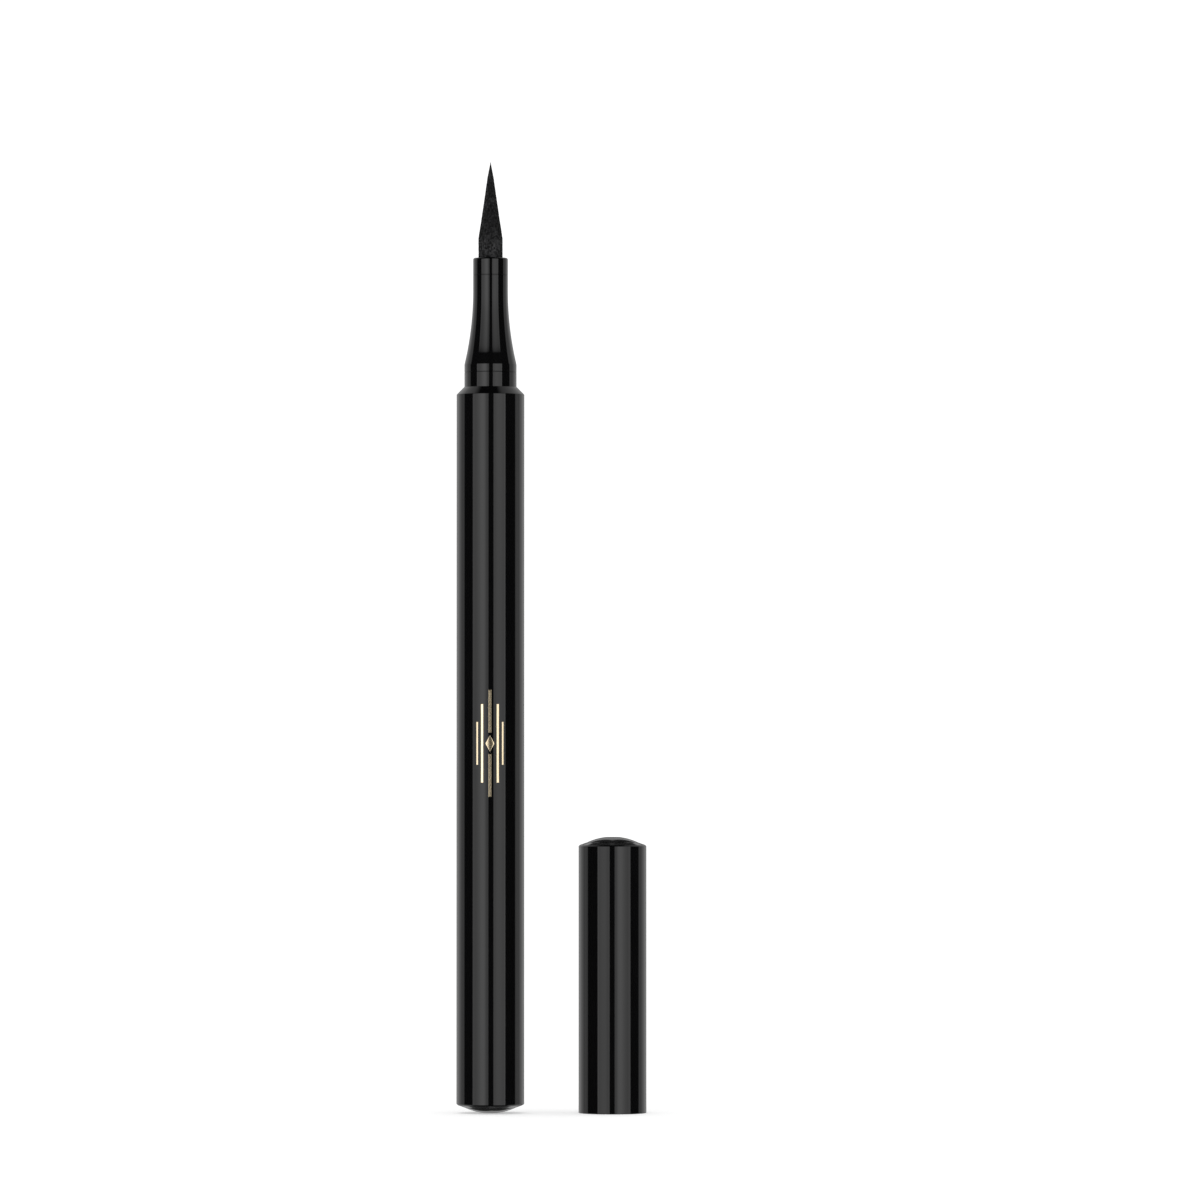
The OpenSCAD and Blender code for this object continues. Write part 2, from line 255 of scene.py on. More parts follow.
def film(name, strips):
    """Thin foil on the barrel's front. Each strip is (x centre, [(z, half width), ...]); its top edges are softened."""
    verts, faces = [], []
    r_in, r_lip, r_out, lip, nx = R + 0.002, R + 0.022, R + 0.030, 0.014, 10
    for x0, rows in strips:
        first = len(verts)
        # the cross-section: along the barrel at r_in, up, then back over the top
        for q, (z, w) in enumerate(rows):
            end = q in (0, len(rows) - 1)
            li = min(lip, w * 0.5)
            sect = [(-w + 2 * w * i / nx, r_in) for i in range(nx + 1)]
            top = w - li
            sect += [(w, r_lip)] + [(top - 2 * top * i / nx, r_lip if end else r_out) for i in range(nx + 1)] + [(-w, r_lip)]
            for dx, r in sect:
                x = x0 + dx
                verts.append((x * MM, -math.sqrt(r * r - x * x) * MM, z * MM))
        k = 2 * nx + 4
        for q in range(len(rows) - 1):
            for i in range(k):
                a, b = first + q * k + i, first + q * k + (i + 1) % k
                faces.append([a, b, b + k, a + k])
        for q, flip in ((0, True), (len(rows) - 1, False)):
            loop = [first + q * k + i for i in range(k)]
            # cap the end with quads between the bottom and the top rows
            for i in range(nx):
                quad = [loop[i], loop[i + 1], loop[2 * nx + 1 - i], loop[2 * nx + 2 - i]]
                faces.append(quad[::-1] if flip else quad)
            for tri in ([loop[0], loop[2 * nx + 2], loop[2 * nx + 3]], [loop[nx], loop[nx + 1], loop[nx + 2]]):
                faces.append(tri[::-1] if flip else tri)
    mesh = bpy.data.meshes.new(name)
    mesh.from_pydata(verts, [], faces)
    mesh.polygons.foreach_set("use_smooth", [True] * len(mesh.polygons))
    mesh.update()
    import bmesh
    bm = bmesh.new()
    bm.from_mesh(mesh)
    bmesh.ops.recalc_face_normals(bm, faces=bm.faces)
    bm.to_mesh(mesh)
    bm.free()
    mesh.set_sharp_from_angle(angle=math.radians(40))
    return put(mesh, name)


def coil(name, cx, r, wire, z0, z1, turns, lead, per_turn=72, sides=16):
    """A compression spring with closed ends. z0 and z1 are the wire's centre heights at its ends."""
    verts, faces = [], []
    steps = turns * per_turn
    for i in range(steps + 1):
        u = i / per_turn
        a = 2 * math.pi * u
        z = z0 + lead * u if u < 1 else z1 - lead * (turns - u) if u > turns - 1 else z0 + lead + (z1 - z0 - 2 * lead) * (u - 1) / (turns - 2)
        for j in range(sides):
            b = 2 * math.pi * j / sides
            rr = r + wire * math.cos(b)
            verts.append(((cx + rr * math.cos(a)) * MM, rr * math.sin(a) * MM, (z + wire * math.sin(b)) * MM))
    for i in range(steps):
        for j in range(sides):
            k = (j + 1) % sides
            faces.append([i * sides + j, (i + 1) * sides + j, (i + 1) * sides + k, i * sides + k])
    faces.append(list(range(sides)))
    faces.append([steps * sides + j for j in range(sides)][::-1])
    mesh = bpy.data.meshes.new(name)
    mesh.from_pydata(verts, [], faces)
    mesh.polygons.foreach_set("use_smooth", [True] * len(mesh.polygons))
    mesh.update()
    mesh.set_sharp_from_angle(angle=math.radians(50))
    return put(mesh, name)


# ------------------------------------------------------------------ materials


class Look:
    """One procedural material, built round a Principled shader."""

    def __init__(self, name, base, rough, metallic=0.0, **sockets):
        self.mat = bpy.data.materials.new(name)
        self.mat.use_nodes = True
        self.nt = self.mat.node_tree
        self.b = self.nt.nodes["Principled BSDF"] if "Principled BSDF" in self.nt.nodes else self.nt.nodes.new("ShaderNodeBsdfPrincipled")
        self.b.inputs["Base Color"].default_value = (*base, 1)
        self.b.inputs["Roughness"].default_value = rough
        self.b.inputs["Metallic"].default_value = metallic
        for key, value in sockets.items():
            self.b.inputs[key.replace("_", " ")].default_value = value
        self.coord = self.nt.nodes.new("ShaderNodeTexCoord").outputs["Object"]

    def noise(self, scale, detail=2.0, rough=0.5, stretch=(1, 1, 1), kind="noise"):
        m = self.nt.nodes.new("ShaderNodeMapping")
        m.inputs["Scale"].default_value = stretch
        self.nt.links.new(self.coord, m.inputs["Vector"])
        if kind == "cells":
            t = self.nt.nodes.new("ShaderNodeTexVoronoi")
            t.inputs["Scale"].default_value = scale
            out = t.outputs["Distance"]
        else:
            t = self.nt.nodes.new("ShaderNodeTexNoise")
            t.inputs["Scale"].default_value = scale
            t.inputs["Detail"].default_value = detail
            t.inputs["Roughness"].default_value = rough
            out = t.outputs[0]
        self.nt.links.new(m.outputs[0], t.inputs["Vector"])
        return out

    def math(self, op, a, b=0.0, clamp=False):
        n = self.nt.nodes.new("ShaderNodeMath")
        n.operation, n.use_clamp = op, clamp
        for k, v in enumerate((a, b)):
            if isinstance(v, (int, float)):
                n.inputs[k].default_value = v
            else:
                self.nt.links.new(v, n.inputs[k])
        return n.outputs[0]

    def ranged(self, value, lo, hi, out_lo, out_hi):
        n = self.nt.nodes.new("ShaderNodeMapRange")
        n.inputs["From Min"].default_value, n.inputs["From Max"].default_value = lo, hi
        n.inputs["To Min"].default_value, n.inputs["To Max"].default_value = out_lo, out_hi
        self.nt.links.new(value, n.inputs["Value"])
        return n.outputs[0]

    def colour(self, fac, dark, light, socket="Base Color"):
        n = self.nt.nodes.new("ShaderNodeMix")
        n.data_type = "RGBA"
        self.nt.links.new(fac, n.inputs["Factor"])
        n.inputs["A"].default_value, n.inputs["B"].default_value = (*dark, 1), (*light, 1)
        for s in n.inputs:
            if s.type == "RGBA" and s.name == "A":
                s.default_value = (*dark, 1)
            if s.type == "RGBA" and s.name == "B":
                s.default_value = (*light, 1)
        out = [s for s in n.outputs if s.type == "RGBA"][0]
        self.nt.links.new(out, self.b.inputs[socket])
        return self

    def rough(self, value):
        self.nt.links.new(value, self.b.inputs["Roughness"])
        return self

    def bump(self, height, distance, strength=1.0, after=None):
        n = self.nt.nodes.new("ShaderNodeBump")
        n.inputs["Distance"].default_value = distance
        n.inputs["Strength"].default_value = strength
        self.nt.links.new(height, n.inputs["Height"])
        if after is not None:
            self.nt.links.new(after, n.inputs["Normal"])
        self.nt.links.new(n.outputs[0], self.b.inputs["Normal"])
        return n.outputs[0]


def gloss_plastic(name, dark, light, rough, spread):
    """Moulded gloss plastic: a hint of flow in the colour, fine polish lines along the axis, and a faint skin."""
    k = Look(name, light, rough, IOR=1.5)
    k.colour(k.noise(260, 3), dark, light)
    lines = k.noise(5200, 2, stretch=(1, 1, 0.012))
    cloud = k.noise(420, 3)
    k.rough(k.math("ADD", k.ranged(cloud, 0.3, 0.7, rough - spread, rough + spread), k.ranged(lines, 0.35, 0.65, -spread * 0.5, spread * 0.5)))
    skin = k.bump(k.noise(520, 2), 1.1e-6)
    k.bump(k.noise(9000, 1), 4e-8, after=skin)
    return k.mat


def look_gloss_black():
    return gloss_plastic("gloss_black", (0.0007, 0.0007, 0.0008), (0.0013, 0.0013, 0.0014), 0.065, 0.012)


def look_end_plug():
    return gloss_plastic("end_plug_black", (0.0012, 0.0012, 0.0013), (0.0024, 0.0024, 0.0025), 0.08, 0.015)


def look_felt():
    """Ground felt, soaked black: lengthwise fibre, crossed by the marks of grinding, with a dusty grain and broad
    soaked patches, and painted shade that darkens the colour towards the silhouette.
    """
    k = Look("felt_nib", (0.01, 0.01, 0.0102), 0.95)
    k.b.inputs["Diffuse Roughness"].default_value = 1.0
    facing = k.nt.nodes.new("ShaderNodeLayerWeight").outputs["Facing"]
    k.nt.links.new(k.ranged(facing, 0.3, 0.85, 0.17, 0.02), k.b.inputs["Specular IOR Level"])
    fibre = k.noise(5200, 2, 0.5, stretch=(1, 1, 0.14))
    grain = k.noise(3400, 3, 0.6)
    dust = k.noise(7600, 2, 0.5)
    patch = k.noise(330, 2, 0.5)
    speck_and_edge_shade = k.math("MULTIPLY", k.ranged(grain, 0.40, 0.62, 0.0, 1), k.ranged(fibre, 0.36, 0.64, 0.35, 1.2), clamp=True)
    speck_and_edge_shade = k.math("MULTIPLY", speck_and_edge_shade, k.ranged(patch, 0.38, 0.62, 0.5, 1.25), clamp=True)
    speck_and_edge_shade = k.math("ADD", speck_and_edge_shade, k.ranged(dust, 0.56, 0.70, 0, 0.55), clamp=True)
    # painted shade: the base colour darkens towards the silhouette, where the nib turns away from the view
    speck_and_edge_shade = k.math("MULTIPLY", speck_and_edge_shade, k.ranged(facing, 0.5, 0.9, 1.0, 0.25))
    sep = k.nt.nodes.new("ShaderNodeSeparateXYZ")
    k.nt.links.new(k.coord, sep.inputs[0])
    speck_and_edge_shade = k.math("MULTIPLY", speck_and_edge_shade, k.ranged(sep.outputs["Z"], 0.1228, 0.1246, 1.0, 0.72))
    k.colour(speck_and_edge_shade, (0.0010, 0.0010, 0.0011), (0.031, 0.031, 0.032))
    k.rough(k.ranged(grain, 0.3, 0.7, 0.8, 1.0))
    first = k.bump(fibre, 2.6e-5, 0.9)
    k.bump(grain, 3.4e-5, 1.0, after=first)
    return k.mat


def look_natural():
    """Unpigmented polypropylene, slightly milky."""
    k = Look("natural_plastic", (0.82, 0.82, 0.79), 0.38, IOR=1.49)
    k.b.inputs["Subsurface Weight"].default_value = 0.25
    k.b.inputs["Subsurface Radius"].default_value = (1.0, 0.9, 0.75)
    k.b.inputs["Subsurface Scale"].default_value = 0.0012
    k.colour(k.noise(180, 3), (0.76, 0.76, 0.73), (0.86, 0.86, 0.83))
    k.rough(k.ranged(k.noise(700, 3), 0.3, 0.7, 0.32, 0.46))
    k.bump(k.noise(1500, 2), 2.0e-6)
    return k.mat


def look_clear():
    """Clear polypropylene tube."""
    k = Look("clear_tank", (0.9, 0.93, 0.94), 0.16, IOR=1.49)
    k.b.inputs["Transmission Weight"].default_value = 0.85
    k.colour(k.noise(150, 2), (0.86, 0.9, 0.91), (0.94, 0.96, 0.96))
    k.rough(k.ranged(k.noise(900, 3), 0.3, 0.7, 0.1, 0.2))
    k.bump(k.noise(700, 2, stretch=(1, 1, 0.1)), 1.5e-6)
    return k.mat


def look_rubber():
    k = Look("seal_rubber", (0.022, 0.022, 0.023), 0.62)
    k.colour(k.noise(900, 3), (0.016, 0.016, 0.017), (0.032, 0.032, 0.033))
    k.rough(k.ranged(k.noise(2200, 3), 0.3, 0.7, 0.52, 0.74))
    k.bump(k.noise(5000, 2), 1.5e-6)
    return k.mat


def look_ink():
    """The liquid: carbon black, with a faint swirl of settled pigment."""
    k = Look("ink", (0.004, 0.004, 0.005), 0.05, IOR=1.34)
    k.colour(k.noise(120, 5, 0.65, stretch=(1, 1, 0.5)), (0.002, 0.002, 0.003), (0.008, 0.008, 0.010))
    k.rough(k.ranged(k.noise(300, 2), 0.3, 0.7, 0.03, 0.08))
    k.bump(k.noise(200, 2), 1.0e-6)
    return k.mat


def look_wick():
    """Bonded fibre rod: fine lengthwise strands, soaked dark."""
    k = Look("wick_fibre", (0.05, 0.05, 0.052), 0.85)
    strands = k.noise(9000, 3, 0.6, stretch=(1, 1, 0.03))
    k.colour(k.ranged(strands, 0.35, 0.65, 0, 1), (0.02, 0.02, 0.022), (0.11, 0.11, 0.115))
    k.rough(k.ranged(strands, 0.3, 0.7, 0.75, 0.95))
    k.bump(strands, 3.0e-5, 0.9)
    return k.mat


def look_gold():
    """Hot-stamped foil: satin, with the faint unevenness of a pressed film."""
    k = Look("gold_foil", (0.92, 0.77, 0.50), 0.22, metallic=1.0)
    k.colour(k.noise(1900, 3), (0.87, 0.71, 0.445), (0.98, 0.835, 0.60))
    k.rough(k.ranged(k.noise(5200, 3), 0.3, 0.7, 0.13, 0.22))
    k.bump(k.noise(6500, 2), 8.0e-7)
    return k.mat


def look_steel(name, base, rough, stretch):
    k = Look(name, base, rough, metallic=1.0)
    lines = k.noise(6000, 3, 0.6, stretch=stretch)
    k.colour(k.noise(900, 2), tuple(0.9 * c for c in base), base)
    k.rough(k.ranged(lines, 0.3, 0.7, rough * 0.7, rough * 1.4))
    k.bump(lines, 6.0e-7)
    return k.mat


LOOKS = {
    "gloss_black": look_gloss_black(),
    "end_plug_black": look_end_plug(),
    "clear_tank": look_clear(),
    "natural_plastic": look_natural(),
    "seal_rubber": look_rubber(),
    "ink": look_ink(),
    "wick_fibre": look_wick(),
    "felt_nib": look_felt(),
    "gold_foil": look_gold(),
    "ball_steel": look_steel("ball_steel", (0.72, 0.73, 0.75), 0.14, (1, 1, 1)),
    "spring_steel": look_steel("spring_steel", (0.62, 0.63, 0.65), 0.24, (1, 1, 0.3)),
}
SLOT_OF = {s["node"]: s["material_slot"] for s in frame["record"]["subparts"]}
BODY_OF = {n: b for b, members in frame["record"]["behaviour"]["bodies"].items() for n in members}
made = []


def piece(o, node):
    """Puts a new mesh in the place of a node: same body, same slot, with that slot's material."""
    o.data.materials.clear()
    o.data.materials.append(LOOKS[SLOT_OF[node]])
    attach(o, BODY_OF[node])
    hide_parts(node)
    made.append(o)
    return o


# ------------------------------------------------------------------ the pen's outside

piece(lathe("barrel_tube", rim() + [
    (R, 102.2 - (R - BORE - 0.04), 0.09), (BORE + 0.04, 102.2, 0.04), (BORE, 102.2, 0.02)]), "barrel")

PRESS = BORE + 0.01 - SPIGOT
plug = lathe("tail_end_plug", [(0, 0), (1.0, 0)] + dome()[1:-1] + [(SPIGOT - 0.01, 0.78, 0.04), (SPIGOT - 0.01, 0.84), (SPIGOT, 0.90)]
             + ring(SPIGOT, 2.3, 0.8, PRESS) + ring(SPIGOT, 5.5, 0.8, PRESS)
             + [(SPIGOT, 7.2, 0.1), (SPIGOT - 0.3, 7.5, 0.1), (2.80, 7.5, 0.1), (2.80, 2.0, 0.25), (0, 2.0)], closed=False, custom=False)
ribs = [block("rib", lo, hi) for lo, hi in (
    ((-2.9, -0.4, 1.8), (2.9, 0.4, 7.8)), ((-0.4, -2.9, 1.8), (0.4, 2.9, 7.8)),
    ((-3.3, -0.4, 7.5), (3.3, 0.4, 24.45)), ((-0.4, -3.3, 7.5), (0.4, 3.3, 24.45)))]
piece(cut(plug, ribs, "UNION"), "tail_plug")

SEAM = 104.29
piece(lathe("neck_coupler_sleeve", [
    (2.10, 90.00, 0.05), (2.80, 90.00, 0.05), (2.97, 90.30, 0.08), (2.97, 92.00, 0.04), (2.50, 92.00, 0.08), (2.50, 92.90, 0.08),
    (2.97, 92.90, 0.04), (2.97, 95.00, 0.05), (SPIGOT - 0.1, 95.00, 0.04), (SPIGOT, 95.10, 0.04)]
    + ring(SPIGOT, 96.4, 0.8, PRESS) + ring(SPIGOT, 99.4, 0.8, PRESS)
    + [(SPIGOT, SEAM - 0.035), (SPIGOT - 0.035, SEAM), (2.60, SEAM, 0.03), (2.60, 98.0, 0.08), (2.10, 98.0, 0.05)]), "neck_coupler")

KINK, CONE_TOP, FLARE_TOP = 105.37, 106.95, 115.77


def flare_r(z):
    """A hollow flare that ends in a short straight cone, above the kink."""
    if z < CONE_TOP:
        return SPIGOT - 0.2167 * (z - KINK)
    return TUBE + (SPIGOT - 0.2167 * (CONE_TOP - KINK) - TUBE) * ((FLARE_TOP - z) / (FLARE_TOP - CONE_TOP)) ** 2


nozzle = [(0.95, 98.2, 0.05), (2.45, 98.2, 0.05), (2.58, 98.4, 0.05)] + ring(2.58, 100.0, 0.8, 0.03) + [
    (2.58, SEAM + 0.02, 0.03), (SPIGOT - 0.035, SEAM + 0.02), (SPIGOT, SEAM + 0.055), (SPIGOT, KINK, 0.12)]
nozzle += [(flare_r(KINK + (FLARE_TOP - KINK) * i / 72), KINK + (FLARE_TOP - KINK) * i / 72) for i in range(1, 72)]
nozzle += [(TUBE, FLARE_TOP), (TUBE, HOLDER - 0.05), (TUBE - 0.03, HOLDER - 0.02), (2.02, HOLDER - 0.02, 0.03),
           (2.02, 109.10, 0.05), (1.75, 109.10, 0.03), (1.75, 104.20, 0.05), (0.95, 104.20, 0.05)]
piece(lathe("nozzle_cone", nozzle), "nozzle")

piece(lathe("nib_holder_ring", [
    (1.72, 109.2, 0.03), (1.95, 109.2, 0.03), (2.00, 109.3, 0.03)] + ring(2.0, HOLDER - 4, 0.8, 0.03)
    + [(2.00, HOLDER, 0.02), (TUBE - 0.03, HOLDER), (TUBE, HOLDER + 0.03)] + arc(TUBE - 0.28, 120.18, 0.28, 0, 62, 12)
    + [(1.80, 120.43), (1.72, 120.36, 0.04), (1.72, HOLDER - 1.2, 0.03), (1.69, HOLDER - 1.35, 0.03), (1.69, HOLDER - 1.65, 0.03),
       (1.72, HOLDER - 1.8, 0.03)]), "nib_holder")


def point_r(t):
    return 1.7 * (1 - 0.935 * t) - 0.02 * math.sin(math.pi * t / 0.8) if t < 0.8 else 0.4284 * (1 - t) / 0.2


def felt(r, z, theta):
    """The nib's surface: fine lengthwise fibres and a ground, dusty skin, fading out inside the holder and at the very point."""
    fade = min(1.0, max(0.0, (z - 120.1) / 0.5)) * min(1.0, r / 0.25)
    if fade <= 0 or r < 1e-4:
        return 0.0
    x, y = math.cos(theta), math.sin(theta)
    fibre = noise.noise(Vector((x * 9.0 * max(r, 0.4) / 1.7, y * 9.0 * max(r, 0.4) / 1.7, z * 0.55)))
    fine = noise.noise(Vector((x * 26.0 * max(r, 0.4) / 1.7 + 7, y * 26.0 * max(r, 0.4) / 1.7, z * 2.6)))
    grain = noise.noise(Vector((x * r * 7.5, y * r * 7.5 + 31, z * 7.5)))
    return fade * (0.013 * fibre + 0.012 * fine + 0.016 * grain)


tip = [(point_r(t), 123.2 + 10.8 * t) for t in (i / 210 for i in range(0, 206))]
body = [(1.7, 120.0 + 3.2 * i / 60) for i in range(60)]
piece(lathe("felt_tip", [(0, 110.3), (0.92, 110.3, 0.05), (0.92, 105.2, 0.03), (1.55, 105.2, 0.04), (1.70, 105.35, 0.04)]
            + body + tip + [(0.05, 133.838), (0.03, 133.93), (0, 134.0)], closed=False, seg=224, wave=felt, custom=False), "nib")

rows = lambda z0, z1, w, n: [(z0 + (z1 - z0) * i / n, w) for i in range(n + 1)]
lozenge = [(52 + 1.15 * t, 0.62 * (1 - abs(t)) + 0.004) for t in [-1 + i / 16 for i in range(33)]]
piece(film("foil_lines", [
    (0, rows(53.5, 59.5, 0.16, 12)), (0, rows(44.5, 50.5, 0.16, 12)),
    (1.1, rows(46.5, 57.5, 0.16, 12)), (-1.1, rows(46.5, 57.5, 0.16, 12)),
    (1.8, rows(49.0, 55.0, 0.12, 8)), (-1.8, rows(49.0, 55.0, 0.12, 8)),
    (0, lozenge)]), "foil_accent")

# ------------------------------------------------------------------ the cap

SHOULDER, LINER_TOP, SPIGOT_Z = CAP_LEN - 2.63, CAP_LEN - 17.23, CAP_LEN - 4.23
piece(lathe("cap_tube", [
    (4.15, 0.05, 0.03), (4.20, 0.0, 0.03), (R - 0.08, 0.0)] + arc(R - 0.08, 0.08, 0.08, -90, 0, 8)[1:]
    + turned_over(rim()) + [(BORE, SHOULDER, 0.04), (4.15, SHOULDER, 0.05)], cx=CAP_X), "cap_shell")

LINER, BEAD, BEAD_Z = SPIGOT + 0.08, SPIGOT - 0.05, 3.58
piece(lathe("cap_guide_sleeve", [(3.85, 0.8, 0.05), (4.05, 0.8, 0.05), (4.13, 1.0, 0.05)]
    + ring(4.13, 2.0, 0.8, 0.03) + ring(4.13, LINER_TOP / 2, 0.8, 0.03) + ring(4.13, LINER_TOP - 2.2, 0.8, 0.03)
    + [(4.13, LINER_TOP - 0.1, 0.05), (4.03, LINER_TOP, 0.05), (3.2, LINER_TOP, 0.1), (3.2, LINER_TOP - 0.8, 0.1), (LINER, LINER_TOP - 1.2, 0.1),
       (LINER, BEAD_Z + 0.9, 0.15), (BEAD, BEAD_Z + 0.6, 0.15), (BEAD, BEAD_Z + 0.3, 0.15), (LINER, BEAD_Z, 0.15), (LINER, 1.5, 0.1)], cx=CAP_X), "cap_liner")

piece(lathe("cap_top_plug", [
    (0, CAP_LEN - 1.23), (3.15, CAP_LEN - 1.23, 0.2), (3.15, SPIGOT_Z, 0.08), (SPIGOT - 0.05, SPIGOT_Z, 0.05), (SPIGOT, SPIGOT_Z + 0.2, 0.05),
    (SPIGOT, SPIGOT_Z + 0.8, 0.08), (BORE + 0.14, SPIGOT_Z + 1.3, 0.04), (BORE + 0.14, SPIGOT_Z + 1.4, 0.04), (SPIGOT, SHOULDER - 0.05, 0.03)]
    + ring(SPIGOT, CAP_LEN - 2.2, 0.8, PRESS)
    + [(SPIGOT, CAP_LEN - 0.90), (SPIGOT - 0.01, CAP_LEN - 0.84), (SPIGOT - 0.01, CAP_LEN - 0.78, 0.04)]
    + turned_over(dome())[1:-1] + [(1.0, CAP_LEN), (0, CAP_LEN)], cx=CAP_X, closed=False), "cap_end_plug")

spring = piece(coil("cap_spring", CAP_X, 3.4, 0.2, LINER_TOP + 1.02, SPIGOT_Z - 0.22, 8, 0.42), "inner_cap_spring")
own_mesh(spring)

INNER, IN_BORE, IN_Z = TUBE + 0.61, TUBE + 0.16, 9.315
piece(lathe("inner_seal_cap", [
    (0, CAP_LEN - 6.43), (IN_BORE - 0.4, CAP_LEN - 6.43, 0.1), (IN_BORE, CAP_LEN - 6.83, 0.15), (IN_BORE, IN_Z + 1.7, 0.03), (IN_BORE + 0.2, IN_Z + 1.7, 0.05),
    (IN_BORE + 0.2, IN_Z + 0.9, 0.05), (IN_BORE, IN_Z + 0.9, 0.03), (IN_BORE, IN_Z + 0.4, 0.05), (IN_BORE + 0.2, IN_Z, 0.04), (INNER - 0.05, IN_Z, 0.04),
    (INNER, IN_Z + 0.05, 0.03), (INNER, LINER_TOP + 0.02, 0.06), (4.00, LINER_TOP + 0.02, 0.03), (4.05, LINER_TOP + 0.07, 0.03),
    (4.05, LINER_TOP + 0.75, 0.03), (4.00, LINER_TOP + 0.80, 0.03), (INNER, LINER_TOP + 0.80, 0.1)]
    + arc(INNER - 0.5, CAP_LEN - 6.13, 0.5, 0, 90, 10) + [(0, CAP_LEN - 5.63)], cx=CAP_X, closed=False), "inner_cap")

# ------------------------------------------------------------------ pieces kept as packed

shown = {n for n in NODES if not NODES[n].hide_render}
for n in sorted(shown):
    o = NODES[n]
    for k in range(len(o.material_slots)):
        o.material_slots[k].material = LOOKS[SLOT_OF[n]]
    made.append(o)

# ------------------------------------------------------------------ stage, light, camera

floor_mesh = bpy.data.meshes.new("floor")
floor_mesh.from_pydata([(-15, -15, -2e-5), (15, -15, -2e-5), (15, 15, -2e-5), (-15, 15, -2e-5)], [], [[0, 1, 2, 3]])
floor = put(floor_mesh, "floor")
# a sheet lit from below as well, so that the shadows at the feet stay soft and light
paper = Look("white_paper", (0.58, 0.58, 0.58), 1.0)
paper.b.inputs["Specular IOR Level"].default_value = 0.0
paper.b.inputs["Emission Color"].default_value = (1, 1, 1, 1)
paper.b.inputs["Emission Strength"].default_value = 0.46
paper.mat.cycles.emission_sampling = "NONE"
floor.data.materials.append(paper.mat)
floor.visible_glossy = False
floor.visible_shadow = False
floor.visible_transmission = False

PEN_SIDE = bpy.data.collections.new("lit_with_pen")
CAP_SIDE = bpy.data.collections.new("lit_with_cap")
for o in made:
    body_name = o["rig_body"]
    (CAP_SIDE if body_name in ("cap", "inner_cap") else PEN_SIDE).objects.link(o)
# the pen and the cap stand so close that each would mirror the other, so they stay out of reflections.
# What stands above the cap's height still mirrors itself, so that its seams stay dark inside
for o in made:
    if not o.hide_render:
        o.visible_glossy = o.name in ("neck_coupler_sleeve", "nozzle_cone", "nib_holder_ring", "felt_tip")


# levels by the drop in tangent below the flag's edge
DIMMED = [(0, 0), (0.0065, 0.12), (0.024, 0.28), (0.041, 0.46), (0.066, 0.66), (0.135, 0.76), (0.212, 0.82), (0.286, 0.88),
          (0.358, 1.03), (0.399, 1.06), (0.449, 1.06), (0.469, 1.0)]


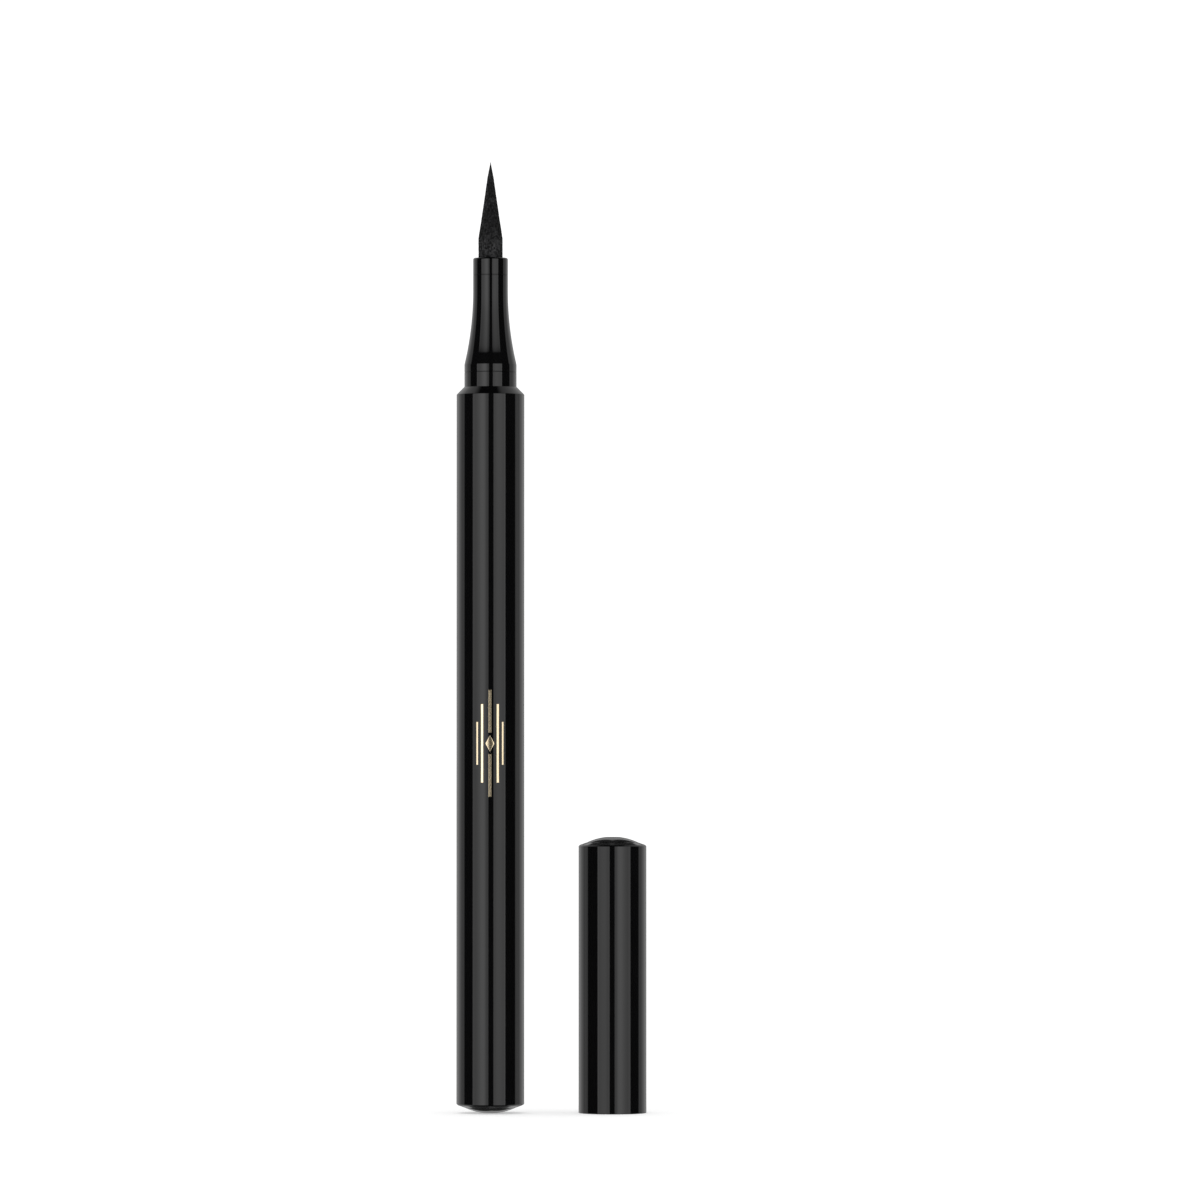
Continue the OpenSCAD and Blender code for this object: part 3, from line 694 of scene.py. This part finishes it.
def softbox(name, cx, facing, az0, az1, top, bottom, levels, receivers, dist=2.5, flagged=None):
    """A flat soft box, seen from the axis at x = cx between two azimuths (from -Y towards +X). top and bottom are tangents.
    levels: (azimuth, radiance) pairs across it. flagged: the box dims upwards (DIMMED) and a black flag cuts it off, on a
    curve that a narrowing cone loses sight of at every azimuth at once."""
    f = math.radians(facing)
    t0, t1 = (dist * math.tan(math.radians(a - facing)) for a in (az0, az1))
    z0, z1 = bottom * dist, top * dist
    light = bpy.data.lights.new(name, "AREA")
    light.shape, light.size, light.size_y = "RECTANGLE", t1 - t0, z1 - z0
    light.energy = math.pi * (t1 - t0) * (z1 - z0)
    light.use_nodes = True
    nt = light.node_tree
    em = [n for n in nt.nodes if n.type == "EMISSION"][0]
    geo = nt.nodes.new("ShaderNodeNewGeometry")
    sep = nt.nodes.new("ShaderNodeSeparateXYZ")
    nt.links.new(geo.outputs["Parametric"], sep.inputs[0])
    ramp = nt.nodes.new("ShaderNodeValToRGB")
    ramp.color_ramp.interpolation = "LINEAR"
    stops = sorted((min(1, max(0, (dist * math.tan(math.radians(a - facing)) - t0) / (t1 - t0))), v) for a, v in levels)
    el = ramp.color_ramp.elements
    while len(el) < len(stops):
        el.new(0.5)
    for e, (pos, v) in zip(el, stops):
        e.position = pos
        e.color = (v / 2, v / 2, v / 2, 1)
    nt.links.new(sep.outputs[0], ramp.inputs[0])
    nt.links.new(ramp.outputs[0], em.inputs["Color"])
    if flagged is not None:
        flag = nt.nodes.new("ShaderNodeValToRGB")
        el = flag.color_ramp.elements
        stops = []
        for i in range(13):
            a = az0 + (az1 - az0) * i / 12
            seen = flagged - 1.4 * max(0, 1 - abs(a) / 20)
            tilt = math.tan(math.asin(math.cos(math.radians(a / 2)) * math.sin(math.radians(seen))))
            stops.append(((dist * math.tan(math.radians(a - facing)) - t0) / (t1 - t0), (tilt / math.cos(math.radians(a - facing)) - bottom) / (top - bottom)))
        while len(el) < len(stops):
            el.new(0.5)
        for e, (pos, v) in zip(el, sorted(stops)):
            e.position = min(1, max(0, pos))
            e.color = (v, v, v, 1)
        nt.links.new(sep.outputs[0], flag.inputs[0])
        below = nt.nodes.new("ShaderNodeMath")
        below.operation = "SUBTRACT"
        nt.links.new(flag.outputs[0], below.inputs[0])
        nt.links.new(sep.outputs[1], below.inputs[1])
        dim = nt.nodes.new("ShaderNodeValToRGB")
        el = dim.color_ramp.elements
        while len(el) < len(DIMMED):
            el.new(0.5)
        for e, (drop, v) in zip(el, DIMMED):
            e.position = drop / 0.5
            e.color = (v / 1.1, v / 1.1, v / 1.1, 1)
        fit = nt.nodes.new("ShaderNodeMath")
        fit.operation = "MULTIPLY"
        fit.inputs[1].default_value = (top - bottom) / 0.5
        nt.links.new(below.outputs[0], fit.inputs[0])
        nt.links.new(fit.outputs[0], dim.inputs[0])
        power = nt.nodes.new("ShaderNodeMath")
        power.operation = "MULTIPLY"
        power.inputs[1].default_value = 2.2
        nt.links.new(dim.outputs[0], power.inputs[0])
        nt.links.new(power.outputs[0], em.inputs["Strength"])
    em.inputs["Strength"].default_value = 2.0
    o = bpy.data.objects.new(name, light)
    scene.collection.objects.link(o)
    across, up, back = Vector((math.cos(f), math.sin(f), 0)), Vector((0, 0, 1)), Vector((math.sin(f), -math.cos(f), 0))
    centre = Vector((cx * MM, 0, 0.112)) + back * dist + across * ((t0 + t1) / 2) + up * ((z0 + z1) / 2)
    o.matrix_world = Matrix.Translation(centre) @ Matrix((across, up, back)).transposed().to_4x4()
    o.visible_camera = False
    if receivers is not None:
        o.light_linking.receiver_collection = receivers
    return o


BIG = [(6, 0.9), (9.5, 0.93), (12.8, 1.0), (16.2, 1.35), (19.6, 1.68), (23.1, 1.74), (27, 1.745), (30, 1.70), (33.5, 1.60), (37.1, 1.44),
       (40.6, 1.34), (44.3, 1.20), (47.9, 1.14), (51.7, 1.02), (55.4, 1.06), (59.3, 1.13), (65, 1.15)]
SMALL = [(9, 1.13), (13.8, 1.13), (17.3, 1.10), (20.6, 1.22), (24, 1.32), (31, 1.315), (34.7, 1.30), (38.3, 1.25), (42, 1.19), (45.5, 1.09),
         (49, 1.27), (53, 1.30)]
mirror = lambda levels: [(-a, v) for a, v in levels]
TOP, LOW = 0.55, -1.6
softbox("key_pen", 0, -28, -61.8, -6.0, TOP, LOW, mirror(BIG), PEN_SIDE, flagged=26.5)
softbox("fill_pen", 0, 26, 11.3, 53.1, TOP, LOW, SMALL, PEN_SIDE, flagged=26.5)
softbox("key_cap", CAP_X, 28, 7.2, 63.5, 0.453, LOW, BIG, CAP_SIDE)
softbox("fill_cap", CAP_X, -26, -52.0, -9.9, 0.453, LOW, mirror(SMALL), CAP_SIDE)
# narrow cards just behind the pair, where the rear light starts on each side
NEAR = [(93, 0.50), (95.5, 0.56), (99, 0.585), (102.5, 0.60), (108, 0.62)]
FAR = [(98.7, 0.42), (102.5, 0.50), (106, 0.57), (108, 0.60)]
softbox("edge_l_pen", 0, -103.4, -108, -98.4, 1.6, LOW, mirror(FAR), PEN_SIDE)
softbox("edge_r_pen", 0, 100.5, 94.2, 108, 1.6, LOW, NEAR, PEN_SIDE)
softbox("edge_l_cap", CAP_X, -100.5, -108, -92.9, 1.6, LOW, mirror(NEAR), CAP_SIDE)
softbox("edge_r_cap", CAP_X, 103.8, 100.1, 108, 1.6, LOW, FAR, CAP_SIDE)

# The sky: plain white for the eye and for soft light. In reflections it is the room behind the pair:
# walls on both sides, a lit back wall, a dark ceiling and nothing in front but the boxes above.
world = bpy.data.worlds.new("studio")
scene.world = world
world.use_nodes = True
nt = world.node_tree
nt.nodes.clear()
W = 1.12


def wn(kind, **props):
    n = nt.nodes.new(kind)
    for k, v in props.items():
        setattr(n, k, v)
    return n


def wm(op, *args, clamp=False):
    n = wn("ShaderNodeMath", operation=op, use_clamp=clamp)
    for k, v in enumerate(args):
        if isinstance(v, (int, float)):
            n.inputs[k].default_value = v
        else:
            nt.links.new(v, n.inputs[k])
    return n.outputs[0]


def step(value, lo, hi):
    """0 below lo, 1 above hi, smooth between. Falls instead where lo is above hi."""
    n = wn("ShaderNodeMapRange", interpolation_type="SMOOTHSTEP")
    rising = lo < hi
    n.inputs["From Min"].default_value, n.inputs["From Max"].default_value = (lo, hi) if rising else (hi, lo)
    n.inputs["To Min"].default_value, n.inputs["To Max"].default_value = (0, 1) if rising else (1, 0)
    nt.links.new(value, n.inputs["Value"])
    return n.outputs[0]


direction = wn("ShaderNodeTexCoord").outputs["Generated"]
sep = wn("ShaderNodeSeparateXYZ")
nt.links.new(direction, sep.inputs[0])
az = wm("MULTIPLY", wm("ARCTAN2", sep.outputs[0], wm("MULTIPLY", sep.outputs[1], -1.0)), 180 / math.pi)
elev = wm("MULTIPLY", wm("ARCSINE", wm("MAXIMUM", wm("MINIMUM", sep.outputs[2], 1.0), -1.0)), 180 / math.pi)
ramp = wn("ShaderNodeValToRGB")
SIDE = [(107.5, 0.035), (108.5, 0.62), (111, 0.66), (114, 0.71), (118.6, 0.80), (123, 0.89), (128, 0.93), (134, 0.96), (141, 1.0),
        (147, 0.96), (152, 0.86), (157, 0.73), (165, 0.45), (180, 0.35)]
WALLS = [(-a, v) for a, v in reversed(SIDE)] + SIDE
el = ramp.color_ramp.elements
while len(el) < len(WALLS):
    el.new(0.5)
for e, (a, v) in zip(el, WALLS):
    e.position = a / 360 + 0.5
    e.color = (v, v, v, 1)
nt.links.new(wm("ADD", wm("DIVIDE", az, 360.0), 0.5), ramp.inputs[0])
side = step(az, -5, 5)
tall = wm("ADD", wm("MULTIPLY", step(elev, 79, 68), side), wm("MULTIPLY", step(elev, 73, 59.5), wm("SUBTRACT", 1.0, side)))
fade = wm("SUBTRACT", 1.0, wm("MULTIPLY", wm("MAXIMUM", wm("SUBTRACT", elev, 15.0), 0.0), 0.0069))
walls = wm("MULTIPLY", wm("MULTIPLY", ramp.outputs[0], fade), wm("MULTIPLY", tall, step(elev, -64, -52)))
# straight behind: a lit band above and another below, with its outer edge falling away to the sides
u = wm("SUBTRACT", 180.0, wm("ABSOLUTE", az))
up = step(elev, -1, 1)
height = wm("ABSOLUTE", elev)
outer = wm("ADD", wm("SUBTRACT", 36.5, wm("MULTIPLY", u, 1.36)), wm("MULTIPLY", up, wm("SUBTRACT", 3.6, wm("MULTIPLY", u, 0.36))))
inner = wm("ADD", wm("SUBTRACT", 21.6, wm("MULTIPLY", u, 1.02)), wm("MULTIPLY", up, 3.4))
over = wm("SUBTRACT", height, outer)
under = wm("SUBTRACT", height, inner)
lit = wm("MULTIPLY", step(over, 0.8, -0.8), step(under, -2.5, 2.5))
dim = wm("MULTIPLY", wm("MULTIPLY", step(over, -0.8, 0.8), step(over, 21, 15)), wm("ADD", 0.08, wm("MULTIPLY", step(over, 4.5, 2.5), 0.09)))
low = wm("MULTIPLY", walls, step(under, 2.5, -2.5))
back = wm("ADD", wm("ADD", wm("MULTIPLY", lit, 0.86), dim), low)
behind = step(u, 23, 15)
# two cards high at the back corners, which only the mouth's bevel sees
corner = wm("MULTIPLY", wm("MULTIPLY", step(elev, 12, 20), step(elev, 46, 38)), wm("MULTIPLY", step(u, 10, 18), step(u, 46, 37)))
glossy_level = wm("MAXIMUM", wm("ADD", wm("MULTIPLY", walls, wm("SUBTRACT", 1.0, behind)), wm("MULTIPLY", back, behind)),
                  wm("ADD", wm("MULTIPLY", corner, wm("SUBTRACT", 0.97, wm("MULTIPLY", side, 0.12))), wm("ADD", 0.012, wm("MULTIPLY", wm("MULTIPLY", step(elev, -50, -62), step(elev, -82, -68)), 0.08))))
bg_plain = wn("ShaderNodeBackground")
bg_plain.inputs["Strength"].default_value = W
bg_plain.inputs["Color"].default_value = (1, 1, 1, 1)
bg_room = wn("ShaderNodeBackground")
nt.links.new(glossy_level, bg_room.inputs["Strength"])
mix = wn("ShaderNodeMixShader")
nt.links.new(wn("ShaderNodeLightPath").outputs["Is Glossy Ray"], mix.inputs[0])
nt.links.new(bg_plain.outputs[0], mix.inputs[1])
nt.links.new(bg_room.outputs[0], mix.inputs[2])
nt.links.new(mix.outputs[0], wn("ShaderNodeOutputWorld").inputs[0])
world.cycles.sampling_method = "NONE"

scene.view_settings.view_transform = "Standard"
scene.view_settings.look = "None"

cam_data = bpy.data.cameras.new("camera")
cam_data.sensor_width = 36.0
cam_data.clip_start, cam_data.clip_end = 0.05, 60.0
eye, aim = Vector((0.01544, -1.1, 0.0518)), Vector((0.01544, 0.0, 0.0722))
reach = (aim - eye).length
cam_data.lens = 36.0 / (1200 * 0.14093 * MM) * reach
cam = bpy.data.objects.new("camera", cam_data)
scene.collection.objects.link(cam)
cam.location = eye
cam.rotation_mode = "QUATERNION"
cam.rotation_quaternion = (aim - eye).to_track_quat("-Z", "Y")
scene.camera = cam
